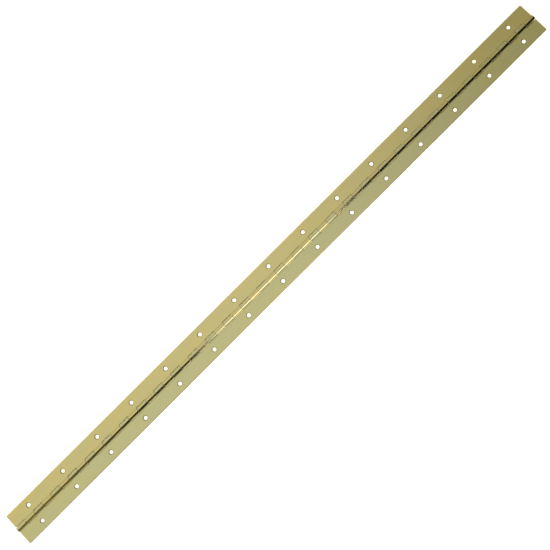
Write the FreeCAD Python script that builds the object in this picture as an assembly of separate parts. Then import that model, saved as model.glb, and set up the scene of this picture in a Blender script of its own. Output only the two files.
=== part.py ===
import FreeCAD, Part

# Continuous (piano) hinge: two leaves of thin sheet, each notched along one long edge and rolled
# into a row of knuckles, that mesh on one full-length wire pin.
#
# Frame: X runs along the pin, Y across the hinge as it lies open and flat, and Z points out of the
# faces that carry the barrel. The origin is the middle of the hinge on its flat back plane. The
# frame leaf lies on +Y and the door leaf on -Y. All sizes are in millimetres, angles in degrees.

import math
import os

# ---- driving dimensions ----------------------------------------------------------------------

# whole hinge, laid open and flat
hinge_length = 762.0            # along the pin
open_width = 38.1               # over both leaves

# sheet that both leaves are pressed from
sheet = 1.0                     # thickness
plan_corner_radius = 0.8        # outer corners of a leaf, seen from above
edge_round = 0.2                # rolled-over front arris that shearing leaves on the free edge

# pin
pin_diameter = 2.38
pin_recess = 0.5                # from each end of the barrel to the end of the pin
pin_chamfer = 0.3
pin_clearance = 0.06            # radial, in every knuckle that turns on the pin

# knuckles, shared by turns between the leaves
nominal_knuckle_pitch = 12.7    # trimmed so that an even number of knuckles fills the length
end_play = 0.4                  # between neighbouring knuckles, along the pin
seam_gap = 0.15                 # from the lip of a rolled knuckle down to its own leaf
notch_clearance = 1.4           # from the barrel to the edge of the notch that it turns in
notch_corner_radius = 0.5

# screw holes, one row on each leaf
hole_pitch = 50.8
hole_diameter = 4.1
hole_edge_distance = 7.94       # from the free edge of the leaf to the row of holes
countersink_angle = 82.0        # included
countersink_land = 0.15         # straight wall left below the cone

# ---- sizes worked out from them --------------------------------------------------------------

rounding = 1e-6                 # a length too small to matter, which absorbs rounding in sums
past = 1.0                      # how far a cutting tool runs past the metal that it cuts

pin_radius = pin_diameter / 2
bore_radius = pin_radius + pin_clearance
barrel_radius = bore_radius + sheet
pin_height = barrel_radius      # of the pin's axis over the back plane
leaf_width = open_width / 2     # from the pin's axis to the free edge
notch_reach = barrel_radius + notch_clearance

knuckle_count = 2 * round(hinge_length / nominal_knuckle_pitch / 2)
knuckle_pitch = hinge_length / knuckle_count

hole_count = int(hinge_length / hole_pitch + rounding)
hole_radius = hole_diameter / 2
hole_row = leaf_width - hole_edge_distance
countersink_depth = sheet - countersink_land
countersink_radius = hole_radius + countersink_depth * math.tan(math.radians(countersink_angle / 2))

# the roll ends where its lip stands seam_gap over the leaf's front face
lip_angle = -math.degrees(math.asin((barrel_radius - sheet - seam_gap) / barrel_radius))

left_end = -hinge_length / 2
right_end = hinge_length / 2

X_AXIS = FreeCAD.Vector(1, 0, 0)
Z_AXIS = FreeCAD.Vector(0, 0, 1)


# ---- leaf ------------------------------------------------------------------------------------

def on_roll(radius, angle):
    """A point of the leaf's section about the pin's axis, at an angle up from +Y."""
    turn = math.radians(angle)
    return FreeCAD.Vector(0, radius * math.cos(turn), pin_height + radius * math.sin(turn))


def roll_arc(radius, start, end):
    """An arc about the pin's axis from one angle to another, as an edge."""
    middle = (start + end) / 2
    return Part.Arc(on_roll(radius, start), on_roll(radius, middle), on_roll(radius, end)).toShape()


def line(a, b):
    return Part.LineSegment(a, b).toShape()


def leaf_section(inner_radius):
    """The closed section of a leaf on +Y: a flat strip whose inner edge is rolled over the pin."""
    bottom = -90.0
    lip = lip_angle - 360.0
    back_edge = FreeCAD.Vector(0, leaf_width, 0)
    arris_foot = FreeCAD.Vector(0, leaf_width, sheet - edge_round)
    arris_top = FreeCAD.Vector(0, leaf_width - edge_round, sheet)
    arris_depth = edge_round * (1 - math.sqrt(0.5))
    arris_middle = FreeCAD.Vector(0, leaf_width - arris_depth, sheet - arris_depth)
    edges = [
        line(back_edge, on_roll(barrel_radius, bottom)),
        roll_arc(barrel_radius, bottom, lip),
        line(on_roll(barrel_radius, lip), on_roll(inner_radius, lip)),
        roll_arc(inner_radius, lip, bottom),
    ]
    strip_top = FreeCAD.Vector(0, 0, sheet)
    if inner_radius < bore_radius:
        edges.append(line(on_roll(inner_radius, bottom), strip_top))
    edges += [
        line(strip_top, arris_top),
        Part.Arc(arris_top, arris_middle, arris_foot).toShape(),
        line(arris_foot, back_edge),
    ]
    return Part.Face(Part.Wire(edges))


def rolled_strip(start, end, inner_radius):
    """A length of rolled strip on +Y, before it is notched."""
    section = leaf_section(inner_radius)
    section.translate(X_AXIS * start)
    return section.extrude(X_AXIS * (end - start))


def notch_tool(start, end):
    """What is cut away where the other leaf's knuckle turns, from one X to another.

    The inner corners are rounded, as a punch leaves them.
    """
    low = -barrel_radius - past
    shoulder = notch_reach - notch_corner_radius
    body = Part.makeBox(end - start, shoulder - low, barrel_radius * 2 + 2 * past,
                        FreeCAD.Vector(start, low, -past))
    nose = Part.makeBox(end - start - 2 * notch_corner_radius, notch_reach - low,
                        barrel_radius * 2 + 2 * past,
                        FreeCAD.Vector(start + notch_corner_radius, low, -past))
    corners = [
        Part.makeCylinder(notch_corner_radius, barrel_radius * 2 + 2 * past,
                          FreeCAD.Vector(x, shoulder, -past))
        for x in (start + notch_corner_radius, end - notch_corner_radius)
    ]
    return body.fuse([nose] + corners).removeSplitter()


def plan_corner_tool(end):
    """What is cut off a leaf's square outer corner at one end to round it."""
    inward = 1 if end < 0 else -1
    centre = FreeCAD.Vector(end + inward * plan_corner_radius, leaf_width - plan_corner_radius, -past)
    reach = plan_corner_radius + past
    block = Part.makeBox(reach, reach, sheet + 2 * past,
                         FreeCAD.Vector(min(centre.x, centre.x - inward * reach), centre.y, -past))
    return block.cut(Part.makeCylinder(plan_corner_radius, sheet + 2 * past, centre))


def screw_hole_tools():
    """A drill and a countersink for every screw hole, centred along the leaf."""
    tools = []
    first = -(hole_count - 1) * hole_pitch / 2
    past_radius = countersink_radius + past * math.tan(math.radians(countersink_angle / 2))
    for number in range(hole_count):
        x = first + number * hole_pitch
        tools.append(Part.makeCylinder(hole_radius, sheet + 2 * past,
                                       FreeCAD.Vector(x, hole_row, -past)))
        tools.append(Part.makeCone(hole_radius, past_radius, countersink_depth + past,
                                   FreeCAD.Vector(x, hole_row, countersink_land)))
    return tools


def leaf(notches, gripped):
    """A leaf on +Y that is notched at some knuckle places and keeps its knuckles at the others.

    A gripped knuckle is squeezed until its bore closes on the pin.
    """
    def place(number):
        return left_end + number * knuckle_pitch

    pieces = []
    start = left_end
    for number in sorted(gripped):
        cut = place(number)
        if cut > start:
            pieces.append(rolled_strip(start, cut, bore_radius))
        start = place(number + 1)
        pieces.append(rolled_strip(cut, start, pin_radius))
    if start < right_end - rounding:
        pieces.append(rolled_strip(start, right_end, bore_radius))
    blank = pieces[0] if len(pieces) == 1 else pieces[0].fuse(pieces[1:])

    tools = screw_hole_tools() + [plan_corner_tool(left_end), plan_corner_tool(right_end)]
    for number in notches:
        start = place(number) - end_play / 2
        end = place(number + 1) + end_play / 2
        if number == 0:
            start = left_end - notch_corner_radius - past
        if number == knuckle_count - 1:
            end = right_end + notch_corner_radius + past
        tools.append(notch_tool(start, end))
    return blank.cut(tools).removeSplitter()


def frame_leaf():
    """The leaf on +Y: every second knuckle, ending with the last, which is squeezed on the pin."""
    last = knuckle_count - 1
    return leaf(notches=range(0, knuckle_count, 2), gripped=[last])


def door_leaf():
    """The leaf on -Y: the first knuckle and every second one after it, all free on the pin."""
    flat = leaf(notches=range(1, knuckle_count, 2), gripped=[])
    return flat.mirror(FreeCAD.Vector(0, 0, 0), FreeCAD.Vector(0, 1, 0))


# ---- pin -------------------------------------------------------------------------------------

def hinge_pin():
    """One straight length of hard wire through all the knuckles, chamfered at both ends."""
    start = left_end + pin_recess
    end = right_end - pin_recess
    tip_radius = pin_radius - pin_chamfer
    outline = [
        FreeCAD.Vector(start, 0, 0),
        FreeCAD.Vector(start, tip_radius, 0),
        FreeCAD.Vector(start + pin_chamfer, pin_radius, 0),
        FreeCAD.Vector(end - pin_chamfer, pin_radius, 0),
        FreeCAD.Vector(end, tip_radius, 0),
        FreeCAD.Vector(end, 0, 0),
        FreeCAD.Vector(start, 0, 0),
    ]
    pin = Part.Face(Part.makePolygon(outline)).revolve(FreeCAD.Vector(0, 0, 0), X_AXIS, 360)
    pin.translate(Z_AXIS * pin_height)
    return pin


# ---- build -----------------------------------------------------------------------------------

def save(name, shape):
    """Writes one node as a STEP file, after making sure that it is one sound solid."""
    if len(shape.Solids) != 1 or not shape.isValid():
        raise ValueError(f"{name} is not one valid solid")
    solid = shape.Solids[0]
    if solid.Volume < 0:
        solid.reverse()
    solid.exportStep(os.path.join("parts", name + ".step"))
    box = solid.BoundBox
    print(f"{name}: {solid.Volume:.1f} mm3, {len(solid.Faces)} faces, "
          f"{box.XLength:.2f} x {box.YLength:.2f} x {box.ZLength:.2f} mm")


os.makedirs("parts", exist_ok=True)
save("frame_leaf", frame_leaf())
save("door_leaf", door_leaf())
save("hinge_pin", hinge_pin())
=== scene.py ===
import math

import bmesh
import bpy
from mathutils import Matrix, Vector


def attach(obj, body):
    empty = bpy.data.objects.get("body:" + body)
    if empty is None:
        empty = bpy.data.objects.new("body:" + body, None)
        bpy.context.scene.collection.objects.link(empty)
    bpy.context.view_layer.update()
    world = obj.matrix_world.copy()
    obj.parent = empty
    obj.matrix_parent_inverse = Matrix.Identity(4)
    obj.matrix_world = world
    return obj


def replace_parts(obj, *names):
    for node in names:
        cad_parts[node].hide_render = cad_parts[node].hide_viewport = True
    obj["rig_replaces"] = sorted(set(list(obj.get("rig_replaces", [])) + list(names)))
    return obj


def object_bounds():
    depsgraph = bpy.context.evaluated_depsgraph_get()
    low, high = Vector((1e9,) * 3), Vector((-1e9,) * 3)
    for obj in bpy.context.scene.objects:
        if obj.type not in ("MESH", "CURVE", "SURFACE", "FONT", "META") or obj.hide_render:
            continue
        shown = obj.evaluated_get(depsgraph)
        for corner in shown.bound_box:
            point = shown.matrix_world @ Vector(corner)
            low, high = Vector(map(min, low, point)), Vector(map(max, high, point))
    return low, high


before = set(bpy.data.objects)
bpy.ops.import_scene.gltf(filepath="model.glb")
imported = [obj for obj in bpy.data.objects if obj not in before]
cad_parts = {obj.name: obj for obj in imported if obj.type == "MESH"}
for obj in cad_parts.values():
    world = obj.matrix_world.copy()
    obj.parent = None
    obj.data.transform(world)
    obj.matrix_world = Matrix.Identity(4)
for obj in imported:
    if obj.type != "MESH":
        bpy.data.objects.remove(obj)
cad_low, cad_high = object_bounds()


# ---- camera ----------------------------------------------------------------------------------
# The hinge lies open on its back. The camera looks down on it from almost straight above, a
# little from the door leaf's side, with the pin along the picture's rising diagonal.

hinge_length = cad_high.x - cad_low.x
length_over_picture = 1.3215        # the hinge is this much longer than the picture is wide
camera_distance = 1.2
camera_lean = math.radians(10.0)    # from straight above, towards the door leaf
diagonal_turn = math.radians(44.87)
look_at = Vector((-0.0016, -0.00054, 0.001))

camera_data = bpy.data.cameras.new("camera")
camera_data.sensor_width = 36.0
camera_data.lens = camera_data.sensor_width * camera_distance * length_over_picture / hinge_length
camera_data.clip_start = 0.05
camera_data.clip_end = 50.0
camera = bpy.data.objects.new("camera", camera_data)
bpy.context.collection.objects.link(camera)
lean_over_pin = Matrix.Rotation(camera_lean, 4, "X")
roll_in_picture = Matrix.Rotation(-diagonal_turn, 4, "Z")
step_back = Matrix.Translation((0.0, 0.0, camera_distance))
camera.matrix_world = Matrix.Translation(look_at) @ lean_over_pin @ step_back @ roll_in_picture
bpy.context.scene.camera = camera


# ---- floor -----------------------------------------------------------------------------------
# A matt white board, wide enough to run out of every view. It isn't part of the hinge.

floor_half_width = 6.0
floor_drop = 0.00002                # keeps it from lying in the same plane as the hinge's back
# the strip of painted reflected light and painted shade on the board, under the barrel
strip_half_length = 0.376
strip_half_width = 0.0038           # a little past the notches
strip_end_fade = 0.004
strip_side_fade = 0.0003
painted_shade_from = 0.10              # along the hinge
painted_shade_to = 0.36
frame_side_painted_shade = 0.35           # as a share of the painted shade on the door leaf's side
sides_meet = 0.001                  # how far off the pin's axis the two sides blend


def linear(hex_colour):
    """An sRGB hex colour as the linear RGBA that the shaders take."""
    channels = [int(hex_colour[i:i + 2], 16) / 255 for i in (1, 3, 5)]
    return [c / 12.92 if c <= 0.04045 else ((c + 0.055) / 1.055) ** 2.4 for c in channels] + [1.0]


def add_node(tree, kind, settings=None, **links):
    """Adds a node. settings holds its own properties, and links gives its sockets by name.

    A socket is given a value, or another node's output as (node, output name). A name's
    underscores stand for spaces, and input_6 is socket number 6, where a node has several of
    one name.
    """
    node = tree.nodes.new(kind)
    for name, value in (settings or {}).items():
        setattr(node, name, value)
    for name, value in links.items():
        if name.startswith("input_"):
            socket = node.inputs[int(name.removeprefix("input_"))]
        else:
            socket = node.inputs[name.replace("_", " ")]
        if isinstance(value, tuple) and isinstance(value[0], bpy.types.Node):
            tree.links.new(value[0].outputs[value[1]], socket)
        else:
            socket.default_value = value
    return node


def new_material(name):
    """An empty node material and its tree."""
    material = bpy.data.materials.new(name)
    material.use_nodes = True
    material.node_tree.nodes.clear()
    return material, material.node_tree


bpy.ops.object.select_all(action="DESELECT")
bpy.ops.mesh.primitive_plane_add(size=2 * floor_half_width, location=(0, 0, -floor_drop))
floor = bpy.context.object
floor.name = "floor"
matt_white, tree = new_material("matt_white_board")
fibre = add_node(tree, "ShaderNodeTexNoise", Scale=400.0, Detail=4.0)
tint = add_node(tree, "ShaderNodeMix", {"data_type": "RGBA"}, Factor=(fibre, "Fac"),
                input_6=linear("#FAF7EA"), input_7=linear("#FCFAF0"))
# A strip of it under the barrel, which shows through the notches, has painted reflected light in the
# brass's colour. That stands in for the light that metal and board pass to and fro. It also has painted
# shade, which darkens it towards the right end, less on the frame leaf's side.
place = add_node(tree, "ShaderNodeTexCoord")
where = add_node(tree, "ShaderNodeSeparateXYZ", Vector=(place, "Object"))
off_middle = add_node(tree, "ShaderNodeMath", {"operation": "ABSOLUTE"}, input_0=(where, "X"))
off_pin = add_node(tree, "ShaderNodeMath", {"operation": "ABSOLUTE"}, input_0=(where, "Y"))
inside_ends = add_node(tree, "ShaderNodeMapRange", Value=(off_middle, "Value"),
                       From_Min=strip_half_length, From_Max=strip_half_length + strip_end_fade,
                       To_Min=1.0, To_Max=0.0)
near_pin = add_node(tree, "ShaderNodeMapRange", Value=(off_pin, "Value"),
                    From_Min=strip_half_width, From_Max=strip_half_width + strip_side_fade,
                    To_Min=1.0, To_Max=0.0)
under_barrel = add_node(tree, "ShaderNodeMath", {"operation": "MULTIPLY"},
                        input_0=(inside_ends, "Result"), input_1=(near_pin, "Result"))
towards_right = add_node(tree, "ShaderNodeMapRange", Value=(where, "X"),
                         From_Min=painted_shade_from, From_Max=painted_shade_to)
door_side = add_node(tree, "ShaderNodeMapRange", Value=(where, "Y"), From_Min=-sides_meet,
                     From_Max=sides_meet, To_Min=1.0, To_Max=frame_side_painted_shade)
painted_shade_amount = add_node(tree, "ShaderNodeMath", {"operation": "MULTIPLY"},
                  input_0=(towards_right, "Result"), input_1=(door_side, "Result"))
# painted reflected light in the brass's colour, which turns to painted shade towards the right end
painted_bounce_and_shade = add_node(tree, "ShaderNodeMix", {"data_type": "RGBA"}, Factor=(painted_shade_amount, "Value"),
                  input_6=linear("#FFF7BC"), input_7=linear("#ADA472"))
board = add_node(tree, "ShaderNodeMix", {"data_type": "RGBA"}, Factor=(under_barrel, "Value"),
                 input_6=(tint, 2), input_7=(painted_bounce_and_shade, 2))
surface = add_node(tree, "ShaderNodeBsdfPrincipled", Base_Color=(board, 2), Roughness=0.9)
add_node(tree, "ShaderNodeOutputMaterial", Surface=(surface, "BSDF"))
floor.data.materials.append(matt_white)
floor.visible_glossy = False        # the hinge mirrors the studio and not the board


# ---- light -----------------------------------------------------------------------------------
# A plain soft studio: a pale ceiling and walls, which the leaves mirror, and dark on the door
# leaf's side, with one soft box low in it. Four broad lamps and a small near one light only the
# board, because the metal doesn't mirror them.

ceiling_light = 0.74
ceiling_light_right = 0.36          # off the hinge's right end, where the ceiling runs out
side_light = 0.7                    # of the wall off the hinge's left end
gap_light_left = 0.27
gap_light_right = 0.004
gap_slant = 0.3                     # how fast the gap widens below the horizon
left_warmth_most = 0.45
white_light = linear("#FFFFFF")
warm_light = linear("#FFFBD6")      # what the ceiling's two ends give
brown_light = linear("#FFF0A4")     # what little comes from the gap

world = bpy.data.worlds.new("pale_studio")
bpy.context.scene.world = world
world.use_nodes = True
tree = world.node_tree
tree.nodes.clear()
smooth = {"interpolation_type": "SMOOTHSTEP"}

# Every look-up is by direction: X goes from -1 off the hinge's left end to 1 off its right end,
# Y is below 0 on the door leaf's side, and Z is below 0 under the horizon.
direction = add_node(tree, "ShaderNodeTexCoord")
towards = add_node(tree, "ShaderNodeSeparateXYZ", Vector=(direction, "Generated"))
ceiling = add_node(tree, "ShaderNodeMapRange", smooth, Value=(towards, "X"), From_Min=-0.05,
                   From_Max=0.40, To_Min=ceiling_light, To_Max=ceiling_light_right)
left_wall = add_node(tree, "ShaderNodeMapRange", smooth, Value=(towards, "X"), From_Min=-0.7,
                     From_Max=-0.5, To_Min=1.0, To_Max=0.0)
room = add_node(tree, "ShaderNodeMix", {"data_type": "FLOAT"}, Factor=(left_wall, "Result"),
                input_2=(ceiling, "Result"), input_3=side_light)

# the dark gap: how far along it, how far across it, and how dark
gap_from = add_node(tree, "ShaderNodeMapRange", smooth, Value=(towards, "X"), From_Min=-0.48,
                    From_Max=-0.35)
gap_to = add_node(tree, "ShaderNodeMapRange", smooth, Value=(towards, "X"), From_Min=0.38,
                  From_Max=0.52, To_Min=1.0, To_Max=0.0)
below = add_node(tree, "ShaderNodeMath", {"operation": "MINIMUM"}, input_0=(towards, "Z"),
                 input_1=0.0)
across = add_node(tree, "ShaderNodeMath", {"operation": "MULTIPLY_ADD"}, input_0=(below, "Value"),
                  input_1=gap_slant, input_2=(towards, "Y"))
gap_across = add_node(tree, "ShaderNodeMapRange", smooth, Value=(across, "Value"), From_Min=-0.34,
                      From_Max=-0.14, To_Min=1.0, To_Max=0.0)
gap_along = add_node(tree, "ShaderNodeMath", {"operation": "MULTIPLY"},
                     input_0=(gap_from, "Result"), input_1=(gap_to, "Result"))
gap = add_node(tree, "ShaderNodeMath", {"operation": "MULTIPLY"},
               input_0=(gap_along, "Value"), input_1=(gap_across, "Result"))
gap_light = add_node(tree, "ShaderNodeMapRange", smooth, Value=(towards, "X"), From_Min=-0.34,
                     From_Max=-0.15, To_Min=gap_light_left, To_Max=gap_light_right)
radiance = add_node(tree, "ShaderNodeMix", {"data_type": "FLOAT"}, Factor=(gap, "Value"),
                    input_2=(room, "Result"), input_3=(gap_light, "Result"))

# the light's colour: white overhead, warm towards both ends and brown from the gap
right_warmth = add_node(tree, "ShaderNodeMapRange", smooth, Value=(towards, "X"), From_Min=0.14,
                        From_Max=0.38)
left_warmth = add_node(tree, "ShaderNodeMapRange", smooth, Value=(towards, "X"), From_Min=-0.36,
                       From_Max=-0.22, To_Min=left_warmth_most, To_Max=0.0)
warmth = add_node(tree, "ShaderNodeMath", {"operation": "ADD"}, input_0=(right_warmth, "Result"),
                  input_1=(left_warmth, "Result"))
ceiling_tint = add_node(tree, "ShaderNodeMix", {"data_type": "RGBA"}, Factor=(warmth, "Value"),
                        input_6=white_light, input_7=warm_light)
light_tint = add_node(tree, "ShaderNodeMix", {"data_type": "RGBA"}, Factor=(gap, "Value"),
                      input_6=(ceiling_tint, 2), input_7=brown_light)
studio = add_node(tree, "ShaderNodeBackground", Color=(light_tint, 2), Strength=(radiance, "Result"))
backdrop = add_node(tree, "ShaderNodeBackground", Color=linear("#FAFAFA"), Strength=1.0)
ray = add_node(tree, "ShaderNodeLightPath")
sky = add_node(tree, "ShaderNodeMixShader", Fac=(ray, "Is Camera Ray"),
               input_1=(studio, "Background"), input_2=(backdrop, "Background"))
add_node(tree, "ShaderNodeOutputWorld", Surface=(sky, "Shader"))


def add_lamp(name, kind, place, turn, **settings):
    """Adds a lamp that hangs at place, turned by the angles in turn, and sets up its light."""
    light = bpy.data.lights.new(name, kind)
    for setting, value in settings.items():
        setattr(light, setting, value)
    lamp = bpy.data.objects.new(name, light)
    bpy.context.collection.objects.link(lamp)
    lamp.location = place
    lamp.rotation_euler = turn
    return lamp


box_distance = 1.3
box_height_angle = math.radians(24.0)   # above the floor
box_place = (-0.005, -box_distance * math.cos(box_height_angle),
             box_distance * math.sin(box_height_angle))
box_turn = (math.pi / 2 - box_height_angle, 0.0, 0.0)
box_length = 0.40                       # along the hinge
box_width = 1.75
add_lamp("soft_box", "AREA", box_place, box_turn, shape="RECTANGLE", size=box_length,
         size_y=box_width, energy=4.6, color=linear("#E9E6FF")[:3])

broad_lamps = [                         # where each is, along and across the hinge, and its strength
    (-0.42, 0.40, 1.8),
    (-0.42, -0.92, 1.5),
    (0.42, 0.40, 1.4),
    (0.42, -0.92, 1.0),
]
broad_lamp_rise = 0.5                   # how high they are for that, because only the direction counts
broad_lamp_spread = math.radians(16.0)  # how wide each of them looks from the hinge
for along, sideways, strength in broad_lamps:
    aim = Vector((along, sideways, broad_lamp_rise)).to_track_quat("Z", "Y").to_euler()
    broad_lamp = add_lamp("broad_lamp", "SUN", (0.0, 0.0, 0.0), aim, energy=strength,
                          angle=broad_lamp_spread)
    broad_lamp.visible_glossy = False

# the near lamp makes the notches brightest in the hinge's middle, and leans away from the hinge
near_lamp_place = (-0.03, -0.105, 0.2)
near_lamp_turn = (math.radians(-27.7), 0.0, 0.0)
near_lamp = add_lamp("near_lamp", "AREA", near_lamp_place, near_lamp_turn, shape="DISK",
                     size=0.03, energy=0.34)
near_lamp.visible_camera = False
near_lamp.visible_glossy = False

bpy.context.scene.view_settings.view_transform = "Standard"


# ---- frame leaf ------------------------------------------------------------------------------
# One strip of bright rolled brass sheet, blanked, pierced and countersunk for 15 screws, notched
# along its inner edge and rolled there into 30 knuckles. It is modelled in millimetres as a thin
# sheet, one hole space long and rolled up, then repeated and given its thickness.

MM = 0.001
sheet = 1.0
pin_height = (cad_high.z - cad_low.z) / 2 / MM
hair = 0.0001                       # off the width, so that rounding stays inside the CAD box
leaf_width = cad_high.y / MM - hair
leaf_end = cad_high.x / MM
hole_count = 15
hole_pitch = 2 * leaf_end / hole_count
hole_radius = 2.05
hole_row = 11.11                    # from the pin's axis
countersink_angle = math.radians(82.0)
countersink_land = 0.15             # what stays of the hole's straight wall
countersink_radius = hole_radius + (sheet - countersink_land) * math.tan(countersink_angle / 2)
knuckle_pitch = hole_pitch / 4
half_play = 0.2                     # half of the gap between two knuckles
notch_reach = 3.65                  # from the pin's axis
notch_corner_radius = 0.5
plan_corner_radius = 0.8
sheared_arris = 0.2
edge_break = 0.07                   # what tumbling leaves of the other edges
roll_angle = math.radians(299.3)    # so that the roll's lip stops just over the leaf's face
roll_steps = 28
hole_sides = 32
tab_line = 5.5                      # the cuts that part knuckles from notches stop here
hole_frame = 4.0                    # half the side of the square of sheet round a hole
space_start = -leaf_end - half_play
first_hole = -leaf_end + hole_pitch / 2
knuckles = [
    (space_start + knuckle_pitch + 2 * half_play, space_start + 2 * knuckle_pitch),
    (space_start + 3 * knuckle_pitch + 2 * half_play, space_start + 4 * knuckle_pitch),
]


def pick(kind, test):
    """Selects the vertices, edges or faces for which test(middle, item) is true, and nothing else."""
    bpy.ops.mesh.select_mode(type=kind)
    bpy.ops.mesh.select_all(action="DESELECT")
    shape = bmesh.from_edit_mesh(bpy.context.edit_object.data)
    for item in {"VERT": shape.verts, "EDGE": shape.edges, "FACE": shape.faces}[kind]:
        corners = [item.co] if kind == "VERT" else [v.co for v in item.verts]
        if test(sum(corners, Vector()) / len(corners), item):
            item.select_set(True)
    bmesh.update_edit_mesh(bpy.context.edit_object.data)


def near(a, b, within=0.01):
    """Are two numbers as good as equal?"""
    return abs(a - b) < within


def apply_modifier(kind, **settings):
    """Adds a modifier to the active object, sets it up and applies it."""
    bpy.ops.object.modifier_add(type=kind)
    modifier = bpy.context.object.modifiers[-1]
    for name, value in settings.items():
        setattr(modifier, name, value)
    bpy.ops.object.modifier_apply(modifier=modifier.name)


bpy.ops.object.select_all(action="DESELECT")
bpy.ops.mesh.primitive_plane_add(size=1.0)
frame_leaf = bpy.context.object
frame_leaf.name = "rolled_frame_leaf"
bpy.ops.object.mode_set(mode="EDIT")
bpy.ops.transform.resize(value=(hole_pitch, leaf_width - notch_reach, 1.0), center_override=(0, 0, 0))
bpy.ops.transform.translate(value=(space_start + hole_pitch / 2, (leaf_width + notch_reach) / 2, 0.0))
for y in (tab_line, hole_row - hole_frame, hole_row + hole_frame):
    bpy.ops.mesh.select_all(action="SELECT")
    bpy.ops.mesh.bisect(plane_co=(0, y, 0), plane_no=(0, 1, 0), threshold=0.0001)
for x in [side for knuckle in knuckles for side in knuckle][:-1]:
    pick("FACE", lambda middle, face: middle.y < tab_line)
    bpy.ops.mesh.bisect(plane_co=(x, 0, 0), plane_no=(1, 0, 0), threshold=0.0001)
for x in (first_hole - hole_frame, first_hole + hole_frame):
    pick("FACE", lambda middle, face: abs(middle.y - hole_row) < hole_frame)
    bpy.ops.mesh.bisect(plane_co=(x, 0, 0), plane_no=(1, 0, 0), threshold=0.0001)

# the hole and the rim of its countersink, joined to the square round them
pick("FACE", lambda middle, face: near(middle.x, first_hole, 1.0) and near(middle.y, hole_row, 1.0))
bpy.ops.mesh.delete(type="FACE")
bpy.ops.mesh.primitive_circle_add(vertices=hole_sides, radius=hole_radius,
                                  location=(first_hole, hole_row, 0))
bpy.ops.mesh.extrude_edges_move()
widen = countersink_radius / hole_radius
bpy.ops.transform.resize(value=(widen, widen, 1.0), center_override=(first_hole, hole_row, 0))


def on_square(edge):
    """Is this an edge of the square of sheet round the first hole?"""
    from_middle = [(abs(v.co.x - first_hole), abs(v.co.y - hole_row)) for v in edge.verts]
    return all(near(max(x, y), hole_frame) for x, y in from_middle)


def on_rim(edge):
    """Is this an edge of the rim of the first hole's countersink?"""
    centre = Vector((first_hole, hole_row, 0))
    return all(near((v.co - centre).length, countersink_radius) for v in edge.verts)


pick("EDGE", lambda middle, edge: on_square(edge) or on_rim(edge))
bpy.ops.mesh.fill(use_beauty=True)

# the knuckles' tabs reach in under the pin, and are rolled up round it
pick("EDGE", lambda middle, edge: near(middle.y, notch_reach)
     and any(start < middle.x < end for start, end in knuckles))
bpy.ops.mesh.extrude_edges_move(TRANSFORM_OT_translate={"value": (0.0, -notch_reach, 0.0)})
bpy.ops.mesh.spin(steps=roll_steps, angle=roll_angle, center=(0, 0, pin_height), axis=(1, 0, 0))
bpy.ops.object.mode_set(mode="OBJECT")

# fifteen hole spaces make the leaf, which ends flush and not in half a gap
apply_modifier("ARRAY", count=hole_count, use_relative_offset=False, use_constant_offset=True,
               constant_offset_displace=(hole_pitch, 0.0, 0.0), use_merge_vertices=True,
               merge_threshold=0.001)
bpy.ops.object.mode_set(mode="EDIT")
pick("VERT", lambda middle, vertex: near(abs(middle.x + half_play), leaf_end))
bpy.ops.transform.translate(value=(half_play, 0.0, 0.0))
bpy.ops.mesh.select_all(action="SELECT")
bpy.ops.mesh.normals_make_consistent(inside=False)
bpy.ops.object.mode_set(mode="OBJECT")

apply_modifier("SOLIDIFY", thickness=sheet, offset=-1.0, use_even_offset=True)
bpy.ops.object.mode_set(mode="EDIT")
bpy.ops.mesh.select_all(action="SELECT")
bpy.ops.mesh.normals_make_consistent(inside=False)


def from_hole(point):
    """How far a point is from the middle of the nearest screw hole, seen from above."""
    x = (point.x - first_hole + hole_pitch / 2) % hole_pitch - hole_pitch / 2
    return math.hypot(x, point.y - hole_row)


# pushing each hole's front rim down to the land draws the countersink's cone
pick("VERT", lambda middle, vertex: near(middle.z, sheet) and near(from_hole(middle), hole_radius))
bpy.ops.transform.translate(value=(0.0, 0.0, countersink_land - sheet))


def upright(edge):
    """Does this edge stand at right angles to the sheet?"""
    start, end = [v.co for v in edge.verts]
    return near(start.x, end.x) and near(start.y, end.y)


pick("EDGE", lambda middle, edge: upright(edge) and near(middle.y, leaf_width)
     and near(abs(middle.x), leaf_end))
bpy.ops.mesh.bevel(offset=plan_corner_radius, segments=5)
pick("EDGE", lambda middle, edge: upright(edge) and near(middle.y, notch_reach)
     and not near(abs(middle.x), leaf_end))
bpy.ops.mesh.bevel(offset=notch_corner_radius, segments=4)
pick("EDGE", lambda middle, edge: near(middle.z, sheet)
     and all(near(v.co.y, leaf_width) for v in edge.verts))
bpy.ops.mesh.bevel(offset=sheared_arris, segments=3)
bpy.ops.object.mode_set(mode="OBJECT")
apply_modifier("BEVEL", width=edge_break, segments=2, limit_method="ANGLE",
               angle_limit=math.radians(38.0))


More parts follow.
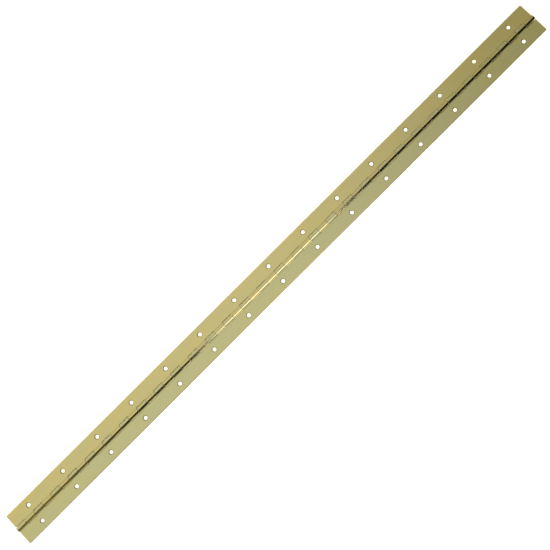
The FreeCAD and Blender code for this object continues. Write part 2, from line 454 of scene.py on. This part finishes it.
def rolled_brass(name, tone, other_tone):
    """Yellow brass sheet, cold rolled and buffed: a satin mirror with fine lengthwise lines.

    It tarnishes unevenly, so its colour drifts a little. A cloth doesn't reach the barrel's foot, so it
    is rougher there, and its colour there is darkened with painted shade for the crease.
    """
    grain_length = 0.060
    grain_width = 0.0009            # the real lines are 0.1 mm apart, too fine to show
    grain_depth = 0.000004
    drift_length = 0.040
    drift_width = 0.011
    foot_from, foot_to = 0.0019, 0.0046     # off the pin's axis
    foot_full_from, foot_full_to = foot_from + 0.0006, foot_from + 0.0008
    foot_low, foot_top = 0.0014, 0.0026     # over the hinge's back
    foot_painted_shade_tone = 0.88
    foot_roughness = 0.10
    material, tree = new_material(name)
    place = add_node(tree, "ShaderNodeTexCoord")
    grain_place = add_node(tree, "ShaderNodeMapping", Vector=(place, "Object"),
                           Scale=(1 / grain_length, 1 / grain_width, 1 / grain_width))
    grain = add_node(tree, "ShaderNodeTexNoise", Vector=(grain_place, "Vector"), Scale=1.0, Detail=3.0,
                     Roughness=0.6)
    drift_place = add_node(tree, "ShaderNodeMapping", Vector=(place, "Object"),
                           Scale=(1 / drift_length, 1 / drift_width, 1 / drift_width))
    drift = add_node(tree, "ShaderNodeTexNoise", Vector=(drift_place, "Vector"), Scale=1.0, Detail=4.0,
                     Roughness=0.55)
    drift_range = add_node(tree, "ShaderNodeMapRange", Value=(drift, "Fac"), From_Min=0.32,
                           From_Max=0.68)
    brass = add_node(tree, "ShaderNodeMix", {"data_type": "RGBA"}, Factor=(drift_range, "Result"),
                     input_6=linear(tone), input_7=linear(other_tone))
    grain_shade = add_node(tree, "ShaderNodeMapRange", Value=(grain, "Fac"), From_Min=0.3, From_Max=0.7,
                           To_Min=0.965, To_Max=1.0)
    where = add_node(tree, "ShaderNodeSeparateXYZ", Vector=(place, "Object"))
    off_pin = add_node(tree, "ShaderNodeMath", {"operation": "ABSOLUTE"}, input_0=(where, "Y"))
    inside = add_node(tree, "ShaderNodeMapRange", smooth, Value=(off_pin, "Value"),
                      From_Min=foot_from, From_Max=foot_full_from)
    outside = add_node(tree, "ShaderNodeMapRange", smooth, Value=(off_pin, "Value"),
                       From_Min=foot_full_to, From_Max=foot_to, To_Min=1.0, To_Max=0.0)
    low = add_node(tree, "ShaderNodeMapRange", smooth, Value=(where, "Z"), From_Min=foot_low,
                   From_Max=foot_top, To_Min=1.0, To_Max=0.0)
    band = add_node(tree, "ShaderNodeMath", {"operation": "MULTIPLY"}, input_0=(inside, "Result"),
                    input_1=(outside, "Result"))
    foot = add_node(tree, "ShaderNodeMath", {"operation": "MULTIPLY"}, input_0=(band, "Value"),
                    input_1=(low, "Result"))
    # painted shade: the colour is darkened in the crease at the barrel's foot
    foot_painted_shade = add_node(tree, "ShaderNodeMapRange", Value=(foot, "Value"), To_Min=1.0,
                          To_Max=foot_painted_shade_tone)
    grain_and_painted_shade = add_node(tree, "ShaderNodeMath", {"operation": "MULTIPLY"}, input_0=(grain_shade, "Result"),
                     input_1=(foot_painted_shade, "Result"))
    colour = add_node(tree, "ShaderNodeVectorMath", {"operation": "SCALE"}, Vector=(brass, 2),
                      Scale=(grain_and_painted_shade, "Value"))
    gloss = add_node(tree, "ShaderNodeMapRange", Value=(grain, "Fac"), From_Min=0.25, From_Max=0.75,
                     To_Min=0.10, To_Max=0.17)
    dulled = add_node(tree, "ShaderNodeMath", {"operation": "MULTIPLY_ADD"}, input_0=(foot, "Value"),
                      input_1=foot_roughness, input_2=(gloss, "Result"))
    relief = add_node(tree, "ShaderNodeBump", Height=(grain, "Fac"), Strength=0.5, Distance=grain_depth)
    surface = add_node(tree, "ShaderNodeBsdfPrincipled", Base_Color=(colour, "Vector"), Metallic=1.0,
                       Roughness=(dulled, "Value"), Normal=(relief, "Normal"))
    add_node(tree, "ShaderNodeOutputMaterial", Surface=(surface, "BSDF"))
    return material


# Sheared brass: the blanking and notching tools leave a dull, finely torn edge.
tear_width = 0.00025                # as coarse as shows; the real tears are finer
tear_height = 6 * tear_width
tear_depth = 0.00002
sheared_edge, tree = new_material("sheared_brass_edge")
place = add_node(tree, "ShaderNodeTexCoord")
tear_place = add_node(tree, "ShaderNodeMapping", Vector=(place, "Object"),
                      Scale=(1 / tear_width, 1 / tear_width, 1 / tear_height))
tears = add_node(tree, "ShaderNodeTexNoise", Vector=(tear_place, "Vector"), Scale=1.0, Detail=3.0)
tear_tone = add_node(tree, "ShaderNodeMix", {"data_type": "RGBA"}, Factor=(tears, "Fac"),
                     input_6=linear("#A89A5C"), input_7=linear("#D6C986"))
tear_relief = add_node(tree, "ShaderNodeBump", Height=(tears, "Fac"), Strength=0.8, Distance=tear_depth)
surface = add_node(tree, "ShaderNodeBsdfPrincipled", Base_Color=(tear_tone, 2), Metallic=1.0,
                   Roughness=0.38, Normal=(tear_relief, "Normal"))
add_node(tree, "ShaderNodeOutputMaterial", Surface=(surface, "BSDF"))

# Countersunk brass: the cutter leaves fine rings round the hole. Both of its tones are darker than the
# leaves' brass, as painted shade for the countersink's recess.
ring_pitch = 0.00022                # as coarse as shows; the real feed is finer
ring_depth = 0.00001
countersunk, tree = new_material("countersunk_brass")
place = add_node(tree, "ShaderNodeTexCoord")
rings = add_node(tree, "ShaderNodeTexWave", {"bands_direction": "Z"}, Vector=(place, "Object"),
                 Scale=math.pi / 10 / ring_pitch, Distortion=0.4, Detail=1.0)
# the rings' two tones, both darkened with painted shade for the recess
ring_tone_in_painted_shade = add_node(tree, "ShaderNodeMix", {"data_type": "RGBA"}, Factor=(rings, "Fac"),
                     input_6=linear("#A89B60"), input_7=linear("#C8BB78"))
ring_relief = add_node(tree, "ShaderNodeBump", Height=(rings, "Fac"), Strength=0.6, Distance=ring_depth)
surface = add_node(tree, "ShaderNodeBsdfPrincipled", Base_Color=(ring_tone_in_painted_shade, 2), Metallic=1.0,
                   Roughness=0.36, Normal=(ring_relief, "Normal"))
add_node(tree, "ShaderNodeOutputMaterial", Surface=(surface, "BSDF"))

frame_leaf.data.materials.append(rolled_brass("bright_rolled_brass", "#E8D68C", "#E0D695"))
frame_leaf.data.materials.append(sheared_edge)
frame_leaf.data.materials.append(countersunk)
bpy.ops.object.mode_set(mode="EDIT")
pick("FACE", lambda middle, face: abs(face.normal.z) < 0.5
     and (abs(face.normal.x) > 0.75 or middle.y > notch_reach - edge_break))
frame_leaf.active_material_index = 1
bpy.ops.object.material_slot_assign()
pick("FACE", lambda middle, face: 0.5 < face.normal.z < 0.8 and from_hole(middle) < countersink_radius)
frame_leaf.active_material_index = 2
bpy.ops.object.material_slot_assign()
bpy.ops.object.mode_set(mode="OBJECT")
bpy.ops.object.shade_smooth_by_angle(angle=math.radians(50.0))
apply_modifier("WEIGHTED_NORMAL", weight=100, keep_sharp=True)
frame_leaf.data.transform(Matrix.Scale(MM, 4))
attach(frame_leaf, "frame_leaf")
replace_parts(frame_leaf, "frame_leaf")


# ---- door leaf -------------------------------------------------------------------------------
# The same stamping, from another coil of sheet, and turned end for end so that its knuckles fall
# in the frame leaf's notches.

door_leaf = frame_leaf.copy()
door_leaf.data = frame_leaf.data.copy()
door_leaf.name = "rolled_door_leaf"
bpy.context.collection.objects.link(door_leaf)
door_leaf.data.transform(Matrix.Diagonal((-1.0, -1.0, 1.0, 1.0)))
door_leaf.data.materials[0] = rolled_brass("pale_rolled_brass", "#DCD495", "#D8D49D")
del door_leaf["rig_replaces"]        # the copy's note that it stands for the frame leaf
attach(door_leaf, "door_leaf")
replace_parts(door_leaf, "door_leaf")


# ---- pin -------------------------------------------------------------------------------------
# Hard drawn steel wire, cropped to length, straight through all sixty knuckles. Its ends lie just
# inside them, and the frame leaf's last knuckle is squeezed on it, which holds it.

pin_radius = 1.19
pin_recess = 0.5
pin_end = leaf_end - pin_recess
pin_chamfer = 0.3
pin_sides = 48
dish_step = 0.3                     # each end is dished in two steps
dish_depths = (0.08, 0.04)
bore_radius = pin_height - sheet
last_knuckle = leaf_end - knuckle_pitch

bpy.ops.object.select_all(action="DESELECT")
bpy.context.view_layer.objects.active = frame_leaf
frame_leaf.select_set(True)
bpy.ops.object.mode_set(mode="EDIT")


def off_axis(point):
    """How far a point, in metres, is from the pin's axis, in millimetres."""
    return math.hypot(point.y, point.z - pin_height * MM) / MM


pick("VERT", lambda middle, vertex: middle.x > last_knuckle * MM
     and off_axis(middle) < bore_radius + edge_break + 0.01)
squeeze = pin_radius / bore_radius
bpy.ops.transform.resize(value=(1.0, squeeze, squeeze), center_override=(0, 0, pin_height * MM))
bpy.ops.object.mode_set(mode="OBJECT")

bpy.ops.object.select_all(action="DESELECT")
bpy.ops.mesh.primitive_cylinder_add(vertices=pin_sides, radius=pin_radius, depth=2 * pin_end,
                                    location=(0, 0, pin_height), rotation=(0, math.pi / 2, 0))
pin = bpy.context.object
pin.name = "drawn_wire_pin"
bpy.ops.object.transform_apply(location=True, rotation=True, scale=True)
bpy.ops.object.mode_set(mode="EDIT")
pick("FACE", lambda middle, face: abs(face.normal.x) > 0.9)
bpy.ops.mesh.bevel(offset=pin_chamfer, segments=4)
pick("FACE", lambda middle, face: abs(face.normal.x) > 0.99 and near(abs(middle.x), pin_end))
for depth in dish_depths:
    bpy.ops.mesh.inset(thickness=dish_step)
    bpy.ops.transform.resize(value=(1.0 - depth / leaf_end, 1.0, 1.0), center_override=(0, 0, pin_height))
bpy.ops.object.mode_set(mode="OBJECT")
bpy.ops.object.shade_smooth_by_angle(angle=math.radians(40.0))
pin.data.transform(Matrix.Scale(MM, 4))

# Drawn steel: the die leaves fine lines along the wire, and a grey film of its lubricant.
line_length = 0.03
line_width = 0.00012                # as coarse as shows; the die's real lines are finer
line_depth = 0.000008
film_patch = 0.004
drawn_steel, tree = new_material("drawn_steel_wire")
place = add_node(tree, "ShaderNodeTexCoord")
line_place = add_node(tree, "ShaderNodeMapping", Vector=(place, "Object"),
                      Scale=(1 / line_length, 1 / line_width, 1 / line_width))
lines = add_node(tree, "ShaderNodeTexNoise", Vector=(line_place, "Vector"), Scale=1.0, Detail=3.0)
film = add_node(tree, "ShaderNodeTexNoise", Vector=(place, "Object"), Scale=1 / film_patch, Detail=3.0)
wire_tone = add_node(tree, "ShaderNodeMix", {"data_type": "RGBA"}, Factor=(film, "Fac"),
                     input_6=linear("#8F8C86"), input_7=linear("#C4C1BA"))
wire_gloss = add_node(tree, "ShaderNodeMapRange", Value=(lines, "Fac"), From_Min=0.3, From_Max=0.7,
                      To_Min=0.24, To_Max=0.42)
wire_relief = add_node(tree, "ShaderNodeBump", Height=(lines, "Fac"), Strength=0.6, Distance=line_depth)
surface = add_node(tree, "ShaderNodeBsdfPrincipled", Base_Color=(wire_tone, 2), Metallic=1.0,
                   Roughness=(wire_gloss, "Result"), Normal=(wire_relief, "Normal"))
add_node(tree, "ShaderNodeOutputMaterial", Surface=(surface, "BSDF"))
pin.data.materials.append(drawn_steel)
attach(pin, "frame_leaf")
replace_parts(pin, "hinge_pin")
